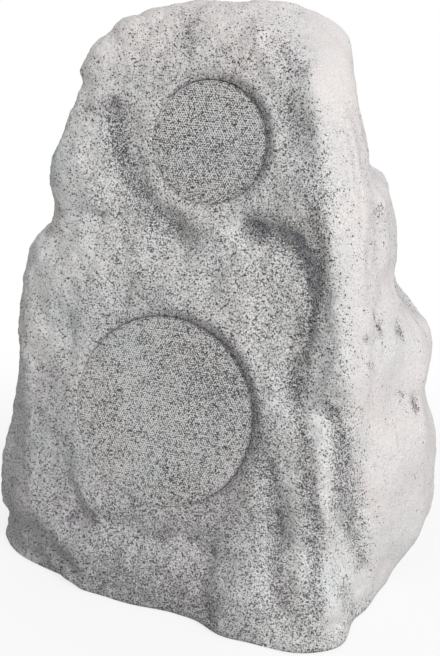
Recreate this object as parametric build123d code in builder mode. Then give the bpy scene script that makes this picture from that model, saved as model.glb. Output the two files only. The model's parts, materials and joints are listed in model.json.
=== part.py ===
from build123d import *
from dataclasses import dataclass
from math import atan2, cos, exp, hypot, radians, sin, tan
import os

os.makedirs("parts", exist_ok=True)

# Rock shaped garden speaker. Sizes are in millimetres.
# The front faces -Y, Z is up and the feet stand on Z = 0.

# Boulder form: flat sides blended round a spine that leans back, with swells, ledges, folds and ripples
rock_height = 492
rim_height = 1.5
spine_x = 3
spine_y = -4
spine_lean = 0.09
edge_sharpness = 11
crown_depth = 42
crown_power = 3
left_shoulder_top = 82
left_shoulder_lean = 45
right_shoulder_top = 23
right_shoulder_lean = 52
swell_arm = 160
swell_edge = 3
ledge_edge = 9
fold_fade = 3
side_turn = 0.02
least_reach = 8
section_crowding = 1.4
section_count = 52
outline_count = 108
left_shoulder_base = left_shoulder_top + rock_height * tan(radians(left_shoulder_lean))
right_shoulder_base = right_shoulder_top + rock_height * tan(radians(right_shoulder_lean))

# Each side: azimuth from the front towards the right, distance at the ground, lean in degrees
sides = {
    "front": (0, 138, 15.5),
    "front right": (48, 197, 8),
    "right": (87, 173, 4),
    "right back": (110, 189, 10),
    "back": (186, 154, 8.5),
    "left back": (235, 174, 10),
    "left": (263, 195.5, 7),
    "front left": (324, 201, 12),
    "left shoulder": (297, left_shoulder_base, left_shoulder_lean),
    "right shoulder": (70, right_shoulder_base, right_shoulder_lean),
}

# Each swell: azimuth, share of the rock's height, half width at the swell arm, half height, stand-out
swells = {
    "right toe": (37, 0.016, 54, 66, 19),
    "left tuck": (307, 0.006, 55, 43, -18),
    "right back bulge": (108, 0.217, 100, 110, 22),
    "right back tuck": (119, -0.014, 98, 37, -9),
    "left ledge": (286, 0.443, 72, 84, 8),
    "left knob": (290, 0.907, 43, 16, 6),
    "bay": (28, 0.54, 62, 64, -4),
    "rib": (58, 0.518, 24, 80, 4),
    "cheek": (38, 0.305, 40, 66, 5),
    "chin": (352, 0.061, 110, 34, 6),
    "hollow": (318, 0.752, 34, 44, -7),
    "left lump": (302, 0.715, 30, 44, 6),
    "rear hollow": (205, 0.549, 90, 70, -8),
    "rear bulge": (165, 0.264, 80, 70, 7),
}

# Each ledge: azimuth, share of the height, half width at the swell arm, height to top and foot, stand-out
ledges = {
    "right low": (100, 0.264, 96, 98, 100, 9),
    "right high": (111, 0.537, 88, 84, 92, 18),
}

# Each fold: azimuth it faces, points across and as shares of the rock's height, half width, stand-out
folds = {
    "cleft": (0, ((44, 0.66), (84, 0.64), (104, 0.58), (100, 0.47), (98, 0.40)), 15, -12),
    "buttress": (0, ((96, 0.70), (128, 0.58), (130, 0.44)), 16, 6),
    "valley": (0, ((-88, 0.83), (-78, 0.75), (-60, 0.70), (-28, 0.64)), 15, -10),
    "flute": (0, ((86, 0.28), (98, 0.16), (104, 0.06)), 14, -7),
    "pillar": (0, ((116, 0.33), (128, 0.20), (136, 0.08)), 14, 5),
    "left groove": (0, ((-116, 0.44), (-124, 0.31), (-111, 0.18), (-92, 0.12)), 14, -8),
    "lip": (0, ((-88, 0.125), (-20, 0.13), (40, 0.12)), 13, -5),
    "right notch": (90, ((-20, 0.55), (50, 0.53), (130, 0.51)), 17, -8),
    "right hollow": (90, ((-20, 0.34), (110, 0.34)), 24, -7),
    "left nick": (270, ((10, 0.66), (90, 0.65)), 14, -7),
    "left waist": (270, ((20, 0.41), (110, 0.36)), 26, -5),
    "left brow": (270, ((-20, 0.94), (80, 0.95)), 18, -5),
    "back gully": (180, ((40, 0.82), (26, 0.64), (44, 0.46)), 20, -8),
    "back ledge": (180, ((-96, 0.56), (-40, 0.52), (6, 0.56)), 18, -6),
    "back scar": (180, ((-57, 0.87), (-71, 0.71), (-57, 0.61)), 14, -5),
    "left step": (270, ((83, 0.61), (13, 0.62), (-47, 0.60)), 14, -5),
    "left gully": (270, ((-12, 0.51), (-33, 0.34), (-38, 0.14)), 15, -6),
    "left scar": (270, ((53, 0.39), (58, 0.22), (46, 0.10)), 13, -5),
}

# Each ripple: length of one wave, azimuth it runs along, climb in degrees, phase in degrees, stand-out
ripples = {
    "upright": (64, 84, 6, 40, 1.3),
    "leaning right": (58, 58, 18, 210, 1.2),
    "leaning left": (55, 118, -20, 300, 1.2),
    "side": (52, 12, 9, 100, 1.4),
    "lying": (92, 35, 70, 150, 1.3),
}

# Shell
wall = 7
ledge_width = 17
ledge_depth = 10
crown_flat = 1
crown_extra = 4
fit_clearance = 0.4
pilot_clearance = 0.15
cut_reach = 60

# Screws: head and depths as shares of the shank or of the wall they go into
head_width = 1.9
head_height = 1.2
grip = 0.7
board_grip = 0.6
pilot_depth = 0.8

# Base plate, seal and feet
plate_level = 6
plate_thickness = 8
plate_clearance = 0.8
seal_thickness = 2.5
seal_width = 12
seal_inset = 1
base_screw_count = 8
base_screw_radius = 2
foot_radius = 15
foot_taper = 1.5
foot_spread_x = 92
foot_spread_y = 68
foot_sink_width = 2.5
foot_sink_depth = 0.5
foot_head_height = 0.35

# Drivers: place on the front side, depth of the grille seat below it and lip of the rock over the seat
woofer_side = -18
woofer_height = 166
tweeter_side = 0
tweeter_drop = 104
seat_depth = 8
lip_low = 3.6
lip_high = 9
lip_turn = -10
lip_reach = 26
lip_facing = 0.3
boss_margin = 8
grille_sheet = 1.2
grille_rim = 3
grille_round = 0.8
hole_margin = 0.75
screws_per_driver = 4
screw_start = 45
frame_windows = 6
window_start = 30
window_width = 0.6
window_length = 0.4
shelf_step = 0.5
plate_step = 2
floor_step = 2
spider_waves = 8
spider_clearance = 0.2
cone_fold = 0.6
cone_inset = 1
cap_inset = 0.5
magnet_chamfer = 0.2
vent_ratio = 3
terminal_place = 0.6
terminal_length = 0.9
terminal_width = 0.5
terminal_corner = 1

# Crossover on the base plate: places on the board are shares of its length and width
board_x = 8
board_y = 36
board_length = 104
board_width = 70
board_thickness = 1.6
board_inset = 5
board_corner = 3
spacer_radius = 4
spacer_height = 14
board_screw_radius = 1.5
lead_radius = 2.4
woofer_lead_bend = 20
tweeter_lead_bend = 30
block_length = 46
block_width = 14
block_height = 13
block_row = -0.28
block_chamfer = 2
bobbin_radius = 18
bobbin_core = 8
bobbin_height = 24
bobbin_flange = 2
bobbin_bore = 0.6
bobbin_place = (-0.2, 0.15)
winding_inset = 1.5
capacitor_radius = 8
capacitor_height = 26
capacitor_round = 1.2
capacitor_places = (0.12, 0.32)
capacitor_row = 0.2
resistor_length = 24
resistor_width = 10
resistor_chamfer = 1
resistor_place = (0.22, -0.05)

# Cable gland at the low back
gland_height = 62
gland_sink = 6
gland_spot_radius = 19
gland_wall = 8
gland_thread_radius = 8
gland_bore_radius = 5
gland_insert_bore = 3.75
gland_hex = 20
gland_hex_length = 6
gland_washer = 1.5
gland_washer_margin = 0.5
gland_seat = 8
gland_insert_length = 10
gland_insert_radius = 6.2
gland_neck_radius = 8.4
gland_cap_end = 4
gland_nut_length = 5
gland_nut_margin = 1
gland_cap_gap = 1.5
gland_thread_spare = 3
gland_slope_place = 0.58
gland_slope_width = 0.16


@dataclass
class Driver:
    """One cone driver. Levels are heights over the grille seat, so they run negative into the shell."""

    name: str
    seat: Plane
    grille: float
    hole_pitch: float
    hole_size: float
    opening: float
    baffle: float
    gasket: float
    flange: float
    sheet: float
    mouth: float
    roll: float
    land: float
    skin: float
    paper: float
    cone_depth: float
    cap_height: float
    coil: float
    former: float
    winding: float
    neck_width: float
    spider: float
    spider_wave: float
    spider_room: float
    magnet: float
    magnet_depth: float
    plate: float
    overhang: float
    air: float
    screw: float
    ear: float

    @property
    def front(self):
        return -self.baffle - self.gasket

    @property
    def neck(self):
        return self.front - self.cone_depth

    @property
    def collar(self):
        return self.neck - self.paper

    @property
    def shelf(self):
        return self.collar - self.skin

    @property
    def floor(self):
        return self.shelf - self.spider_room

    @property
    def plate_front(self):
        return self.floor - self.sheet

    @property
    def plate_back(self):
        return self.plate_front - self.plate

    @property
    def magnet_back(self):
        return self.plate_back - self.magnet_depth

    @property
    def rim(self):
        return self.mouth - self.roll

    @property
    def neck_radius(self):
        return self.coil + self.neck_width

    @property
    def cup(self):
        return self.spider - self.land

    @property
    def magnet_bore(self):
        return self.coil + self.neck_width + floor_step

    @property
    def screw_circle(self):
        return (self.flange + self.mouth + self.land) / 2

    @property
    def axis(self):
        return Axis(self.seat.origin, self.seat.z_dir)

    @property
    def side(self):
        return Plane(self.seat.origin, self.seat.x_dir, self.seat.x_dir.cross(self.seat.z_dir))

    @property
    def terminal_radius(self):
        return self.spider + self.ear * terminal_place

    @property
    def terminal_back(self):
        return self.shelf - self.sheet - board_thickness


def fold_distance(across, height, path):
    """Shortest way from a place on one side to the line that a fold follows."""
    gaps = []
    for (start_x, start_share), (end_x, end_share) in zip(path, path[1:]):
        run = end_x - start_x
        rise = (end_share - start_share) * rock_height
        off_x = across - start_x
        off_z = height - start_share * rock_height
        part = min(1, max(0, (off_x * run + off_z * rise) / (run**2 + rise**2)))
        gaps.append(hypot(off_x - part * run, off_z - part * rise))
    return min(gaps)


def ripple(across, ahead, height):
    """Sum of the waves that run through the rock, at one place on its face."""
    total = 0
    for length, facing, climb, phase, out in ripples.values():
        level = across * sin(radians(facing)) + ahead * cos(radians(facing))
        run = level * cos(radians(climb)) + height * sin(radians(climb))
        total += out * sin(radians(360 * run / length + phase))
    return total


def lipped(relief, flat, azimuth, height):
    """The relief, led to the lip that the rock forms over each grille seat."""
    facing = cos(radians(azimuth)) * cos(radians(sides["front"][2]))
    across = spine_x + flat * sin(radians(azimuth))
    along = spine_y + spine_lean * height - flat * cos(radians(azimuth))
    for driver in drivers:
        spot = driver.seat.to_local_coords(Vector(across, along, height))
        ring = max(0, hypot(spot.X, spot.Y) - driver.grille) / lip_reach
        if ring < 1 and facing > lip_facing:
            toward = (1 + cos(atan2(spot.Y, spot.X) - radians(lip_turn))) / 2
            lip = lip_low + (lip_high - lip_low) * toward
            near = 1 - ring**2 * (3 - 2 * ring)
            relief += near * ((lip - spot.Z) / facing - relief)
    return relief


def rock_radius(azimuth, height):
    """Distance of the boulder's face from its spine."""
    total = 0
    for facing, distance, lean in sides.values():
        turn = cos(radians(azimuth - facing))
        reach = distance - height * tan(radians(lean)) + height * spine_lean * cos(radians(facing))
        if turn > side_turn:
            total += (turn / max(reach, least_reach)) ** edge_sharpness
    flat = total ** (-1 / edge_sharpness)
    relief = ripple(flat * sin(radians(azimuth)), flat * cos(radians(azimuth)), height)
    for facing, share, wide, tall, out in swells.values():
        around = radians((azimuth - facing + 180) % 360 - 180) * swell_arm / wide
        spread = around**2 + ((height - share * rock_height) / tall) ** 2
        relief += out * exp(-(spread**swell_edge))
    for facing, share, wide, top, foot, out in ledges.values():
        around = radians((azimuth - facing + 180) % 360 - 180) * swell_arm / wide
        rise = height - share * rock_height
        drop = (rise / top) ** (2 * ledge_edge) if rise > 0 else (rise / foot) ** (2 * swell_edge)
        relief += out * exp(-drop - around ** (2 * swell_edge))
    for facing, path, wide, out in folds.values():
        turn = radians(azimuth - facing)
        fade = min(1, max(0, fold_fade * cos(turn)))
        relief += fade * out * exp(-((fold_distance(flat * sin(turn), height, path) / wide) ** 2))
    rise = max(0, (height - rock_height + crown_depth) / crown_depth)
    return (flat + lipped(relief, flat, azimuth, height)) * (1 - rise**crown_power) ** (1 / crown_power)


def cavity_radius(azimuth, height):
    """The same form one wall thickness further in, also above and below a ledge."""
    return min(rock_radius(azimuth, height + step) for step in (-wall, 0, wall)) - wall


def pocket_radius(azimuth, height):
    """The recess in the rim that takes the base plate, with upright walls."""
    low = rock_radius(azimuth, rim_height)
    high = rock_radius(azimuth, ledge_level)
    return min(low, high) - wall


def outline(height, radius_at, inset=0):
    """Points round the spine at one height."""
    points = []
    for step in range(outline_count):
        azimuth = 360 * step / outline_count
        reach = radius_at(azimuth, height) - inset
        across = spine_x + reach * sin(radians(azimuth))
        along = spine_y + spine_lean * height - reach * cos(radians(azimuth))
        points.append(Vector(across, along, 0))
    return points


def levels(bottom, top):
    """Section heights, closer together towards the crown."""
    steps = range(section_count)
    shares = [1 - (1 - step / (section_count - 1)) ** section_crowding for step in steps]
    return [bottom + (top - bottom) * share for share in shares]


def front_seat(offset, height):
    """Plane of a grille seat, sunk below the front side of the boulder."""
    distance, lean = sides["front"][1:]
    normal = Vector(0, -cos(radians(lean)), sin(radians(lean)))
    place = Vector(spine_x + offset, spine_y - distance + height * tan(radians(lean)), height)
    return Plane(place - normal * seat_depth, (1, 0, 0), normal)


knots = [step / outline_count for step in range(outline_count + 1)]
ledge_level = plate_level + plate_thickness + seal_thickness
ledge_top = ledge_level + ledge_depth
plate_top = plate_level + plate_thickness
board_level = plate_top + spacer_height
board_top = board_level + board_thickness
block_top = board_top + block_height
base_centre_y = spine_y + spine_lean * plate_level

woofer = Driver(
    name="woofer",
    seat=front_seat(woofer_side, woofer_height),
    grille=82,
    hole_pitch=13.6,
    hole_size=4.6,
    opening=72,
    baffle=10,
    gasket=2,
    flange=83,
    sheet=2,
    mouth=68,
    roll=12,
    land=5,
    skin=0.8,
    paper=1.2,
    cone_depth=27,
    cap_height=8,
    coil=12.7,
    former=0.5,
    winding=0.8,
    neck_width=5.3,
    spider=41,
    spider_wave=1.2,
    spider_room=9,
    magnet=40,
    magnet_depth=13,
    plate=5,
    overhang=2.5,
    air=0.6,
    screw=2,
    ear=20,
)
tweeter = Driver(
    name="tweeter",
    seat=front_seat(tweeter_side, rock_height - tweeter_drop),
    grille=51,
    hole_pitch=9.4,
    hole_size=3.2,
    opening=41,
    baffle=8,
    gasket=1.5,
    flange=47,
    sheet=1.5,
    mouth=37,
    roll=7,
    land=3,
    skin=0.6,
    paper=0.8,
    cone_depth=12,
    cap_height=5,
    coil=6.6,
    former=0.4,
    winding=0.6,
    neck_width=3.4,
    spider=22,
    spider_wave=0.8,
    spider_room=4,
    magnet=24,
    magnet_depth=8,
    plate=4,
    overhang=1,
    air=0.5,
    screw=1.5,
    ear=18,
)
drivers = (woofer, tweeter)
gland_face = spine_y + spine_lean * gland_height + rock_radius(180, gland_height) - gland_sink
gland_plane = Plane((spine_x, gland_face, gland_height), (1, 0, 0), (0, 1, 0))


def base_screw_places(level):
    """Places of the base screws, halfway across the ledge."""
    places = []
    for step in range(base_screw_count):
        azimuth = 360 * (step + 0.5) / base_screw_count
        reach = pocket_radius(azimuth, level) - ledge_width / 2
        across = spine_x + reach * sin(radians(azimuth))
        places.append((across, base_centre_y - reach * cos(radians(azimuth))))
    return places


def foot_places():
    return [
        (spine_x + x * foot_spread_x, base_centre_y + y * foot_spread_y) for y in (-1, 1) for x in (-1, 1)
    ]


def board_places():
    reach_x = board_length / 2 - board_inset
    reach_y = board_width / 2 - board_inset
    return [(board_x + x * reach_x, board_y + y * reach_y) for x in (-1, 1) for y in (-1, 1)]


# Air space inside the shell, less the bosses that carry the drivers and the gland
with BuildPart() as cavity:
    for height in levels(ledge_top, rock_height - wall - crown_extra):
        with BuildSketch(Plane.XY.offset(height)):
            with BuildLine():
                add(Edge.make_spline(outline(height, cavity_radius), periodic=True, parameters=knots))
            make_face()
    loft()
    for driver in drivers:
        with BuildSketch(driver.seat.offset(-driver.baffle)):
            Circle(driver.flange + boss_margin)
        extrude(amount=cut_reach, mode=Mode.SUBTRACT)
    with BuildSketch(gland_plane.offset(-gland_wall)):
        Circle(gland_spot_radius + wall)
    extrude(amount=cut_reach, mode=Mode.SUBTRACT)
    with BuildSketch(Plane.XY.offset(ledge_level)):
        with BuildLine():
            inner = outline(plate_level, pocket_radius, ledge_width)
            add(Edge.make_spline(inner, periodic=True, parameters=knots))
        make_face()
    extrude(amount=ledge_depth)
    with BuildSketch(Plane.XY):
        with BuildLine():
            pocket = outline(plate_level, pocket_radius)
            add(Edge.make_spline(pocket, periodic=True, parameters=knots))
        make_face()
    extrude(amount=ledge_level)

# Rock shell: one cast piece
with BuildPart() as rock_shell:
    for height in levels(rim_height, rock_height - crown_flat):
        with BuildSketch(Plane.XY.offset(height)):
            with BuildLine():
                add(Edge.make_spline(outline(height, rock_radius), periodic=True, parameters=knots))
            make_face()
    loft()
    add(cavity.part, mode=Mode.SUBTRACT)
    for driver in drivers:
        with BuildSketch(driver.seat.offset(driver.magnet_back)):
            Circle(driver.flange + fit_clearance)
        extrude(amount=-driver.baffle - driver.magnet_back, mode=Mode.SUBTRACT)
        with BuildSketch(driver.seat):
            Circle(driver.grille + fit_clearance)
        extrude(amount=cut_reach, mode=Mode.SUBTRACT)
        with BuildSketch(driver.seat.offset(-driver.baffle)):
            Circle(driver.opening)
        extrude(amount=2 * driver.baffle, mode=Mode.SUBTRACT)
        with BuildSketch(driver.seat.offset(-driver.baffle)):
            with PolarLocations(driver.screw_circle, screws_per_driver, start_angle=screw_start):
                Circle(driver.screw + pilot_clearance)
        extrude(amount=pilot_depth * driver.baffle, mode=Mode.SUBTRACT)
    with BuildSketch(gland_plane):
        Circle(gland_spot_radius)
    extrude(amount=cut_reach, mode=Mode.SUBTRACT)
    with BuildSketch(gland_plane.offset(-gland_wall)):
        Circle(gland_thread_radius + pilot_clearance)
    extrude(amount=2 * gland_wall, mode=Mode.SUBTRACT)
    with BuildSketch(Plane.XY.offset(ledge_level)):
        with Locations(*base_screw_places(plate_level)):
            Circle(base_screw_radius + pilot_clearance)
    extrude(amount=pilot_depth * ledge_depth, mode=Mode.SUBTRACT)
rock_shell.part.label = "rock_shell"
export_step(rock_shell.part, "parts/rock_shell.step")


def hole_places(driver):
    """Centres of the grille's holes: rows half a pitch apart, inside the rim."""
    reach = driver.grille - driver.hole_pitch * hole_margin
    rows = int(reach / driver.hole_pitch) + 2
    places = []
    for row in range(-rows, rows + 1):
        for column in range(-rows, rows + 1):
            x = driver.hole_pitch * (column + 0.5 * (row % 2))
            y = driver.hole_pitch * row * sin(radians(60))
            if x * x + y * y < reach * reach:
                places.append((x, y))
    return places


def make_grille(driver):
    """Perforated sheet with a rim folded back onto the seat."""
    with BuildPart() as grille:
        with BuildSketch(driver.seat):
            Circle(driver.grille)
            Circle(driver.grille - grille_sheet, mode=Mode.SUBTRACT)
        extrude(amount=grille_rim)
        with BuildSketch(driver.seat.offset(grille_rim)):
            Circle(driver.grille)
            with Locations(*hole_places(driver)):
                RegularPolygon(driver.hole_size, 6, mode=Mode.SUBTRACT)
        extrude(amount=-grille_sheet)
        fillet(grille.edges().filter_by(GeomType.CIRCLE).sort_by(driver.axis)[-1], grille_sheet * grille_round)
    return grille.part


def make_gasket(driver):
    """Foam ring between the baffle and the driver's flange."""
    with BuildPart() as gasket:
        with BuildSketch(driver.seat.offset(driver.front)):
            Circle(driver.flange)
            Circle(driver.mouth + driver.land + fit_clearance, mode=Mode.SUBTRACT)
            with PolarLocations(driver.screw_circle, screws_per_driver, start_angle=screw_start):
                Circle(driver.screw + fit_clearance, mode=Mode.SUBTRACT)
        extrude(amount=driver.gasket)
    return gasket.part


def make_frame(driver):
    """Pressed basket with windows, a shelf for the spider and an ear for the terminals."""
    sheet = driver.sheet
    with BuildPart() as frame:
        with BuildSketch(driver.side):
            with BuildLine():
                Polyline(
                    (driver.flange, driver.front),
                    (driver.mouth, driver.front),
                    (driver.spider + shelf_step, driver.shelf),
                    (driver.cup, driver.shelf),
                    (driver.cup, driver.floor),
                    (driver.magnet_bore, driver.floor),
                    (driver.magnet_bore, driver.plate_front),
                    (driver.cup + sheet, driver.plate_front),
                    (driver.cup + sheet, driver.shelf - sheet),
                    (driver.spider + shelf_step + sheet, driver.shelf - sheet),
                    (driver.mouth + sheet, driver.front - sheet),
                    (driver.flange, driver.front - sheet),
                    close=True,
                )
            make_face()
        revolve(axis=driver.axis)
        with BuildSketch(driver.seat.offset(driver.shelf - sheet)):
            with Locations((0, -driver.spider - driver.ear / 2)):
                Rectangle(driver.ear, driver.ear)
        extrude(amount=sheet)
        with BuildSketch(driver.seat.offset(driver.shelf)):
            middle = (driver.spider + driver.mouth) / 2
            with PolarLocations(middle, frame_windows, start_angle=window_start):
                across = window_width * (driver.mouth - driver.spider)
                RectangleRounded(across, window_length * driver.mouth, sheet)
        extrude(amount=driver.cone_depth, mode=Mode.SUBTRACT)
        with BuildSketch(driver.seat.offset(driver.front)):
            with PolarLocations(driver.screw_circle, screws_per_driver, start_angle=screw_start):
                Circle(driver.screw + fit_clearance)
        extrude(amount=-2 * sheet, mode=Mode.SUBTRACT)
    return frame.part


def make_surround(driver):
    """Half roll that joins the cone's rim to the frame."""
    middle = driver.mouth - driver.roll / 2
    with BuildPart() as surround:
        with BuildSketch(driver.side):
            with Locations((middle, driver.front)):
                Circle(driver.roll / 2)
                Circle(driver.roll / 2 - driver.skin, mode=Mode.SUBTRACT)
            with Locations((middle, driver.front - driver.roll / 2)):
                Rectangle(2 * driver.roll, driver.roll, mode=Mode.SUBTRACT)
            with Locations((driver.mouth - driver.skin, driver.front)):
                Rectangle(driver.skin + driver.land, driver.skin, align=(Align.MIN, Align.MIN))
            with Locations((driver.rim + driver.skin, driver.front)):
                Rectangle(driver.skin + driver.land, driver.skin, align=(Align.MAX, Align.MIN))
        revolve(axis=driver.axis)
    return surround.part


def make_cone(driver):
    """Paper cone with a flat rim under the surround and a flat neck over the coil."""
    fold = cone_fold * driver.paper
    with BuildPart() as cone:
        with BuildSketch(driver.side):
            with BuildLine():
                Polyline(
                    (driver.rim, driver.front),
                    (driver.rim - driver.land, driver.front),
                    (driver.neck_radius, driver.neck),
                    (driver.coil - cone_inset, driver.neck),
                    (driver.coil - cone_inset, driver.collar),
                    (driver.neck_radius + fold, driver.collar),
                    (driver.rim - driver.land + fold, driver.front - driver.paper),
                    (driver.rim, driver.front - driver.paper),
                    close=True,
                )
            make_face()
        revolve(axis=driver.axis)
    return cone.part


def make_dust_cap(driver):
    """Dome that closes the cone's neck."""
    edge = driver.neck_radius - cap_inset
    ball = (edge**2 + driver.cap_height**2) / (2 * driver.cap_height)
    with BuildPart() as cap:
        with BuildSketch(driver.side):
            with Locations((0, driver.neck + driver.cap_height - ball)):
                Circle(ball)
                Circle(ball - driver.paper, mode=Mode.SUBTRACT)
            with Locations((0, driver.neck)):
                Rectangle(4 * ball, 4 * ball, align=(Align.CENTER, Align.MAX), mode=Mode.SUBTRACT)
                Rectangle(4 * ball, 4 * ball, align=(Align.MAX, Align.CENTER), mode=Mode.SUBTRACT)
        revolve(axis=driver.axis)
    return cap.part


def make_voice_coil(driver):
    """Former under the cone's neck with the winding at the air gap."""
    middle = (driver.plate_front + driver.plate_back) / 2
    half = driver.plate / 2 + driver.overhang
    outer = driver.coil + driver.former
    with BuildPart() as coil:
        with BuildSketch(driver.side):
            with BuildLine():
                Polyline(
                    (driver.coil, driver.collar),
                    (outer, driver.collar),
                    (outer, middle + half),
                    (outer + driver.winding, middle + half),
                    (outer + driver.winding, middle - half),
                    (driver.coil, middle - half),
                    close=True,
                )
            make_face()
        revolve(axis=driver.axis)
    return coil.part


def make_spider(driver):
    """Corrugated disc that centres the coil: flat inner and outer lands, waves between."""
    start = driver.neck_radius + driver.spider_wave
    step = (driver.cup - start) / spider_waves
    upper = [(driver.coil + driver.former + spider_clearance, driver.collar), (start, driver.collar)]
    for wave in range(1, spider_waves):
        sway = driver.spider_wave if wave % 2 else -driver.spider_wave
        upper.append((start + wave * step, driver.collar + sway / 2))
    upper += [(driver.cup, driver.collar), (driver.spider, driver.collar)]
    lower = [(radius, level - driver.skin) for radius, level in reversed(upper)]
    with BuildPart() as spider:
        with BuildSketch(driver.side):
            with BuildLine():
                Polyline(*upper, *lower, close=True)
            make_face()
        revolve(axis=driver.axis)
    return spider.part


def make_top_plate(driver):
    """Steel ring round the air gap."""
    with BuildPart() as plate:
        with BuildSketch(driver.seat.offset(driver.plate_back)):
            Circle(driver.magnet - plate_step)
            Circle(driver.coil + driver.former + driver.winding + driver.air, mode=Mode.SUBTRACT)
        extrude(amount=driver.plate)
    return plate.part


def make_magnet(driver):
    """Ferrite ring."""
    with BuildPart() as magnet:
        with BuildSketch(driver.seat.offset(driver.magnet_back)):
            Circle(driver.magnet)
            Circle(driver.magnet_bore, mode=Mode.SUBTRACT)
        extrude(amount=driver.magnet_depth)
        rims = magnet.edges().filter_by(GeomType.CIRCLE).group_by(SortBy.RADIUS)[-1]
        chamfer(rims, magnet_chamfer * driver.plate)
    return magnet.part


def make_yoke(driver):
    """Back plate with the pole, bored through as a vent."""
    with BuildPart() as yoke:
        with BuildSketch(driver.seat.offset(driver.magnet_back)):
            Circle(driver.magnet - plate_step)
        extrude(amount=-driver.plate)
        with BuildSketch(driver.seat.offset(driver.magnet_back)):
            Circle(driver.coil - driver.air)
        extrude(amount=driver.magnet_depth + driver.plate)
        with BuildSketch(driver.seat.offset(driver.plate_front)):
            Circle(driver.coil / vent_ratio)
        extrude(amount=-driver.magnet_depth - 2 * driver.plate, mode=Mode.SUBTRACT)
    return yoke.part


def make_terminals(driver):
    """Tag strip on the back of the frame's ear."""
    with BuildPart() as strip:
        with BuildSketch(driver.seat.offset(driver.terminal_back)):
            with Locations((0, -driver.terminal_radius)):
                RectangleRounded(driver.ear * terminal_length, driver.ear * terminal_width, terminal_corner)
        extrude(amount=board_thickness)
    return strip.part


def make_screws(driver):
    """Pan head screws through the flange and gasket into the baffle."""
    with BuildPart() as screws:
        with BuildSketch(driver.seat.offset(driver.front - driver.sheet)):
            with PolarLocations(driver.screw_circle, screws_per_driver, start_angle=screw_start):
                Circle(driver.screw)
        extrude(amount=driver.sheet + driver.gasket + grip * driver.baffle)
        with BuildSketch(driver.seat.offset(driver.front - driver.sheet)):
            with PolarLocations(driver.screw_circle, screws_per_driver, start_angle=screw_start):
                Circle(head_width * driver.screw)
        extrude(amount=-head_height * driver.screw)
    return screws.part


makers = {
    "grille": make_grille,
    "gasket": make_gasket,
    "frame": make_frame,
    "surround": make_surround,
    "cone": make_cone,
    "dust_cap": make_dust_cap,
    "voice_coil": make_voice_coil,
    "spider": make_spider,
    "top_plate": make_top_plate,
    "magnet": make_magnet,
    "yoke": make_yoke,
    "terminals": make_terminals,
    "screws": make_screws,
}
for driver in drivers:
    for piece, make in makers.items():
        part = make(driver)
        part.label = f"{driver.name}_{piece}"
        export_step(part, f"parts/{part.label}.step")

# Base plate: closes the shell from below
with BuildPart() as base_plate:
    with BuildSketch(Plane.XY.offset(plate_level)):
        with BuildLine():
            edge = outline(plate_level, pocket_radius, plate_clearance)
            add(Edge.make_spline(edge, periodic=True, parameters=knots))
        make_face()
        with Locations(*base_screw_places(plate_level)):
            Circle(base_screw_radius + fit_clearance, mode=Mode.SUBTRACT)
    extrude(amount=plate_thickness)
    with BuildSketch(Plane.XY.offset(plate_level)):
        with Locations(*foot_places()):
            Circle(base_screw_radius + pilot_clearance)
    extrude(amount=pilot_depth * plate_thickness, mode=Mode.SUBTRACT)
    with BuildSketch(Plane.XY.offset(plate_top)):
        with Locations(*board_places()):
            Circle(board_screw_radius + pilot_clearance)
    extrude(amount=-pilot_depth * plate_thickness, mode=Mode.SUBTRACT)
base_plate.part.label = "base_plate"
export_step(base_plate.part, "parts/base_plate.step")

# Base seal: foam ring between the plate and the ledge
with BuildPart() as base_seal:
    with BuildSketch(Plane.XY.offset(plate_top)):
        with BuildLine():
            edge = outline(plate_level, pocket_radius, plate_clearance + seal_inset)
            add(Edge.make_spline(edge, periodic=True, parameters=knots))
        make_face()
        with BuildLine():
            edge = outline(plate_level, pocket_radius, plate_clearance + seal_inset + seal_width)
            add(Edge.make_spline(edge, periodic=True, parameters=knots))
        make_face(mode=Mode.SUBTRACT)
        with Locations(*base_screw_places(plate_level)):
            Circle(base_screw_radius + fit_clearance, mode=Mode.SUBTRACT)
    extrude(amount=seal_thickness)
base_seal.part.label = "base_seal"
export_step(base_seal.part, "parts/base_seal.step")

# Base screws: pan heads under the plate, threads in the ledge
with BuildPart() as base_screws:
    with BuildSketch(Plane.XY.offset(plate_level)):
        with Locations(*base_screw_places(plate_level)):
            Circle(base_screw_radius)
    extrude(amount=plate_thickness + seal_thickness + grip * ledge_depth)
    with BuildSketch(Plane.XY.offset(plate_level)):
        with Locations(*base_screw_places(plate_level)):
            Circle(head_width * base_screw_radius)
    extrude(amount=-head_height * base_screw_radius)
base_screws.part.label = "base_screws"
export_step(base_screws.part, "parts/base_screws.step")

# Feet: four rubber buttons with a sunk screw each
foot_names = ("foot_front_left", "foot_front_right", "foot_back_left", "foot_back_right")
for foot_name, (foot_x, foot_y) in zip(foot_names, foot_places()):
    foot_plane = Plane((foot_x, foot_y, 0))
    with BuildPart() as foot:
        with BuildSketch(foot_plane):
            Circle(foot_radius - foot_taper)
        with BuildSketch(foot_plane.offset(plate_level)):
            Circle(foot_radius)
        loft()
        with BuildSketch(foot_plane):
            Circle(foot_sink_width * base_screw_radius)
        extrude(amount=foot_sink_depth * plate_level, mode=Mode.SUBTRACT)
        with BuildSketch(foot_plane):
            Circle(base_screw_radius + fit_clearance)
        extrude(amount=plate_level, mode=Mode.SUBTRACT)
    foot.part.label = foot_name
    export_step(foot.part, f"parts/{foot_name}.step")

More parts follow.
